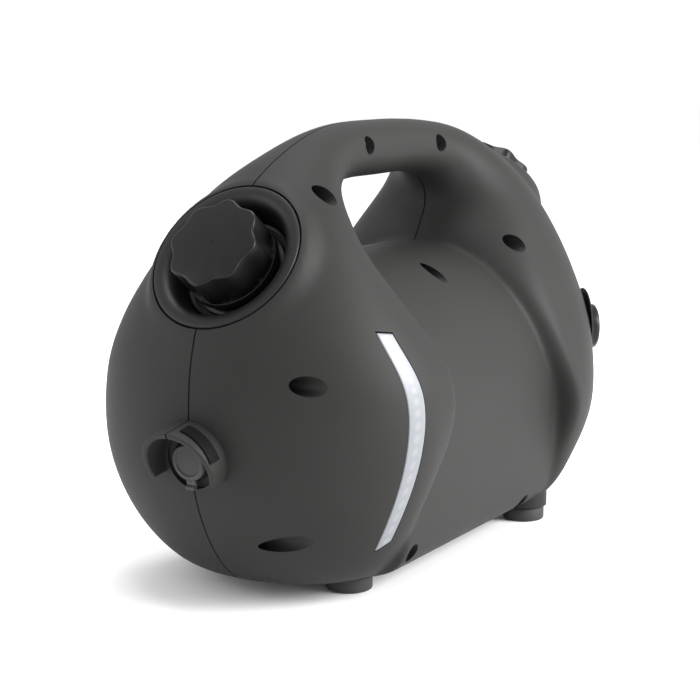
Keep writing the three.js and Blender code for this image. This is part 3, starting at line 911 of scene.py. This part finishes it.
def plastic(name, colour, lighter, roughness, grain, depth, wear, specular=0.5):
    """A moulded plastic: two close colours mottled together, grain in the bump, worn edges."""
    material = bpy.data.materials.new(name)
    material.use_nodes = True
    tree = material.node_tree
    shader = tree.nodes["Principled BSDF"]
    shader.inputs["Specular IOR Level"].default_value = specular
    texture = tree.nodes.new("ShaderNodeGroup")
    texture.node_tree = GRAIN
    texture.inputs["Grain Scale"].default_value = grain
    texture.inputs["Mottle Scale"].default_value = 26
    worn = tree.nodes.new("ShaderNodeGroup")
    worn.node_tree = EDGE_WEAR
    worn.inputs["Amount"].default_value = wear
    blend = tree.nodes.new("ShaderNodeMix")
    blend.data_type = "RGBA"
    blend.inputs["A"].default_value = (*colour, 1)
    blend.inputs["B"].default_value = (*lighter, 1)
    tree.links.new(texture.outputs["Mottle"], blend.inputs["Factor"])
    rubbed = tree.nodes.new("ShaderNodeMix")
    rubbed.name = "rubbed"
    rubbed.data_type = "RGBA"
    rubbed.inputs["B"].default_value = (*[value * RUBBED_GAIN for value in lighter], 1)
    tree.links.new(blend.outputs["Result"], rubbed.inputs["A"])
    tree.links.new(worn.outputs["Wear"], rubbed.inputs["Factor"])
    tree.links.new(rubbed.outputs["Result"], shader.inputs["Base Color"])
    rough = tree.nodes.new("ShaderNodeMapRange")
    rough.inputs["To Min"].default_value = roughness - 0.06
    rough.inputs["To Max"].default_value = roughness + 0.06
    tree.links.new(texture.outputs["Mottle"], rough.inputs["Value"])
    tree.links.new(rough.outputs["Result"], shader.inputs["Roughness"])
    bump = tree.nodes.new("ShaderNodeBump")
    bump.inputs["Strength"].default_value = 0.5
    bump.inputs["Distance"].default_value = depth * MM
    tree.links.new(texture.outputs["Height"], bump.inputs["Height"])
    tree.links.new(bump.outputs["Normal"], shader.inputs["Normal"])
    return material


LENS_DOTS = 18.0  # lamp chips along the strip
LENS_DOT_STRETCH = 1.8


def lens_plastic():
    """Frosted diffuser, with the soft dots of the lamp chips behind it along its length."""
    material = bpy.data.materials.new("frosted_lens")
    material.use_nodes = True
    tree = material.node_tree
    shader = tree.nodes["Principled BSDF"]
    shader.inputs["Subsurface Weight"].default_value = 0.25
    shader.inputs["Subsurface Radius"].default_value = (0.004, 0.004, 0.004)
    uv = tree.nodes.new("ShaderNodeUVMap")
    split = tree.nodes.new("ShaderNodeSeparateXYZ")
    tree.links.new(uv.outputs["UV"], split.inputs["Vector"])
    repeat = math_node(tree, "MULTIPLY", split.outputs["X"], LENS_DOTS)
    centred = math_node(tree, "SUBTRACT", math_node(tree, "FRACT", repeat), 0.5)
    offset = math_node(tree, "SUBTRACT", split.outputs["Y"], 0.5)
    across = math_node(tree, "MULTIPLY", offset, LENS_DOT_STRETCH)
    squared = math_node(
        tree,
        "ADD",
        math_node(tree, "POWER", centred, 2.0),
        math_node(tree, "POWER", across, 2.0),
    )
    dot = tree.nodes.new("ShaderNodeMapRange")
    dot.inputs["From Min"].default_value = 0.02
    dot.inputs["From Max"].default_value = 0.16
    dot.inputs["To Min"].default_value = 1.0
    dot.inputs["To Max"].default_value = 0.0
    tree.links.new(squared, dot.inputs["Value"])
    blend = tree.nodes.new("ShaderNodeMix")
    blend.data_type = "RGBA"
    blend.inputs["A"].default_value = (0.172, 0.182, 0.198, 1)
    blend.inputs["B"].default_value = (0.212, 0.218, 0.23, 1)
    tree.links.new(dot.outputs["Result"], blend.inputs["Factor"])
    tree.links.new(blend.outputs["Result"], shader.inputs["Base Color"])
    texture = tree.nodes.new("ShaderNodeGroup")
    texture.node_tree = GRAIN
    texture.inputs["Grain Scale"].default_value = 1500
    rough = tree.nodes.new("ShaderNodeMapRange")
    rough.inputs["To Min"].default_value = 0.35
    rough.inputs["To Max"].default_value = 0.5
    tree.links.new(texture.outputs["Mottle"], rough.inputs["Value"])
    tree.links.new(rough.outputs["Result"], shader.inputs["Roughness"])
    return material


BOWL_SHADE_FROM = 0.5  # millimetres below the flange where the painted shade in the bowl starts
BOWL_SHADE_TO = 7.0
# painted shade: the near-black mixed into the dish's colour down in the bowl
BOWL_PAINTED_SHADE = (0.001, 0.001, 0.001, 1)


def bowl_painted_shade_group(port):
    """Painted shade: 0 at a port's rim, 1 a few millimetres down in its bowl."""
    group, _, target = new_group(port.word + "_bowl_painted_shade", [], [("Shade", "NodeSocketFloat")])
    offset = group.nodes.new("ShaderNodeVectorMath")
    offset.operation = "SUBTRACT"
    offset.inputs[1].default_value = port.centre * MM
    group.links.new(group.nodes.new("ShaderNodeTexCoord").outputs["Object"], offset.inputs[0])
    height = group.nodes.new("ShaderNodeVectorMath")
    height.operation = "DOT_PRODUCT"
    height.inputs[1].default_value = port.normal
    group.links.new(offset.outputs["Vector"], height.inputs[0])
    shade = group.nodes.new("ShaderNodeMapRange")
    shade.interpolation_type = "SMOOTHSTEP"
    shade.inputs["From Min"].default_value = -BOWL_SHADE_FROM * MM
    shade.inputs["From Max"].default_value = -BOWL_SHADE_TO * MM
    group.links.new(height.outputs["Value"], shade.inputs["Value"])
    group.links.new(shade.outputs["Result"], target.inputs["Shade"])
    return group


def bowl_plastic_with_painted_shade(port):
    """The flange's grey at the rim, with shade painted in, darker down into the bowl."""
    material = plastic(port.word + "_dish_grey_and_painted_shade", **FLANGE_FINISH)
    tree = material.node_tree
    shade = tree.nodes.new("ShaderNodeGroup")
    shade.node_tree = bowl_painted_shade_group(port)
    blend = tree.nodes.new("ShaderNodeMix")
    blend.data_type = "RGBA"
    # the painted shade colour, mixed in more deeply down the bowl
    blend.inputs["B"].default_value = BOWL_PAINTED_SHADE
    tree.links.new(shade.outputs["Shade"], blend.inputs["Factor"])
    tree.links.new(tree.nodes["rubbed"].outputs["Result"], blend.inputs["A"])
    tree.links.new(blend.outputs["Result"], tree.nodes["Principled BSDF"].inputs["Base Color"])
    return material


def metal(name, colour, lighter, roughness):
    material = plastic(name, colour, lighter, roughness, grain=900, depth=0.02, wear=0.3)
    material.node_tree.nodes["Principled BSDF"].inputs["Metallic"].default_value = 1.0
    return material


HOUSING = plastic(
    "housing_charcoal",
    (0.013, 0.013, 0.0125),
    (0.018, 0.018, 0.0172),
    roughness=0.58,
    grain=2600,
    depth=0.05,
    wear=0.0,
    specular=0.18,
)
FLANGE_FINISH = {
    "colour": (0.006, 0.006, 0.0065),
    "lighter": (0.01, 0.01, 0.011),
    "roughness": 0.45,
    "grain": 2600,
    "depth": 0.04,
    "wear": 0.3,
    "specular": 0.22,
}
FLANGE = plastic("flange_grey", **FLANGE_FINISH)
CAP = plastic(
    "cap_black",
    (0.003, 0.003, 0.003),
    (0.005, 0.005, 0.005),
    roughness=0.34,
    grain=3000,
    depth=0.02,
    wear=0.9,
    specular=0.2,
)
RUBBER = plastic(
    "rubber_black",
    (0.014, 0.014, 0.014),
    (0.022, 0.022, 0.022),
    roughness=0.72,
    grain=1800,
    depth=0.05,
    wear=0.6,
)
INNER = plastic(
    "inner_black",
    (0.002, 0.002, 0.002),
    (0.004, 0.004, 0.004),
    roughness=0.6,
    grain=2000,
    depth=0.03,
    wear=0.0,
    specular=0.08,
)
SLEEVE = plastic(
    "battery_sleeve",
    (0.02, 0.12, 0.36),
    (0.03, 0.16, 0.42),
    roughness=0.35,
    grain=1200,
    depth=0.02,
    wear=0.3,
)
CIRCUIT = plastic(
    "circuit_green",
    (0.015, 0.1, 0.05),
    (0.02, 0.14, 0.07),
    roughness=0.4,
    grain=1500,
    depth=0.02,
    wear=0.2,
)
STEEL = metal("zinc_steel", (0.4, 0.4, 0.39), (0.5, 0.5, 0.49), 0.32)
LENS = lens_plastic()

FINISHES = {
    "housing": HOUSING,
    "flange": FLANGE,
    "cap": CAP,
    "rubber": RUBBER,
    "steel": STEEL,
    "lens": LENS,
    "circuit": CIRCUIT,
    "inner": INNER,
    "sleeve": SLEEVE,
}


def dress_frame():
    """Every carried-over CAD node takes the material of its slot."""
    for row in frame["record"]["subparts"]:
        dress_node = frame["nodes"][row["node"]]
        for index in range(max(len(dress_node.material_slots), 1)):
            if index < len(dress_node.material_slots):
                dress_node.material_slots[index].material = FINISHES[row["material_slot"]]
            else:
                dress_node.data.materials.append(FINISHES[row["material_slot"]])


# ---------------------------------------------------------------- studio
LIGHTS = [  # name, place in metres, side of the square in metres, watts
    ("key", (0.5, -1.75, 0.9), 1.0, 76),
    ("top", (0.1, 0.2, 1.9), 1.0, 22),
    ("fill", (-1.2, 1.4, 0.8), 0.9, 8),
]
LIGHT_AIM = Vector((0, 0, 0.1))
SKY_STRENGTH = 1.05
CAMERA_PLACE = Vector((-709.1 + FRAME_SHIFT, -413.4, 237.5))
CAMERA_TILT = 80.5  # degrees up from looking straight down
CAMERA_HEADING = -59.0
CAMERA_LENS = 82.3


def studio():
    deselect()
    bpy.ops.mesh.primitive_plane_add(size=30)
    floor = named("studio_floor")
    floor_finish = bpy.data.materials.new("studio_white")
    floor_finish.use_nodes = True
    floor_shader = floor_finish.node_tree.nodes["Principled BSDF"]
    floor_shader.inputs["Base Color"].default_value = (0.95, 0.95, 0.95, 1)
    floor_shader.inputs["Roughness"].default_value = 0.9
    dress(floor, floor_finish)
    world = bpy.data.worlds.new("studio")
    world.use_nodes = True
    sky = world.node_tree.nodes["Background"]
    sky.inputs["Color"].default_value = (1, 1, 1, 1)
    sky.inputs["Strength"].default_value = SKY_STRENGTH
    bpy.context.scene.world = world
    for name, spot, size, power in LIGHTS:
        lamp = bpy.data.lights.new(name + "_softbox", "AREA")
        lamp.shape = "SQUARE"
        lamp.size = size
        lamp.energy = power
        holder = bpy.data.objects.new(name + "_softbox", lamp)
        holder.location = spot
        aim = LIGHT_AIM - Vector(spot)
        holder.rotation_euler = aim.to_track_quat("-Z", "Y").to_euler()
        bpy.context.collection.objects.link(holder)
    bpy.context.scene.view_settings.view_transform = "Standard"


def camera():
    lens = bpy.data.cameras.new("camera")
    lens.lens = CAMERA_LENS
    lens.sensor_width = 36
    lens.clip_end = 100
    view = bpy.data.objects.new("camera", lens)
    view.location = CAMERA_PLACE * MM
    view.rotation_euler = (math.radians(CAMERA_TILT), 0, math.radians(CAMERA_HEADING))
    bpy.context.collection.objects.link(view)
    bpy.context.scene.camera = view


camera()
studio()
dress_frame()
housing_pieces()
for port in (FRONT_PORT, REAR_PORT):
    port_dish(port)
    port_neck(port)
    screw_cap(port)
rubber_feet()
lamp_lenses()
socket_bung()
button_pieces()
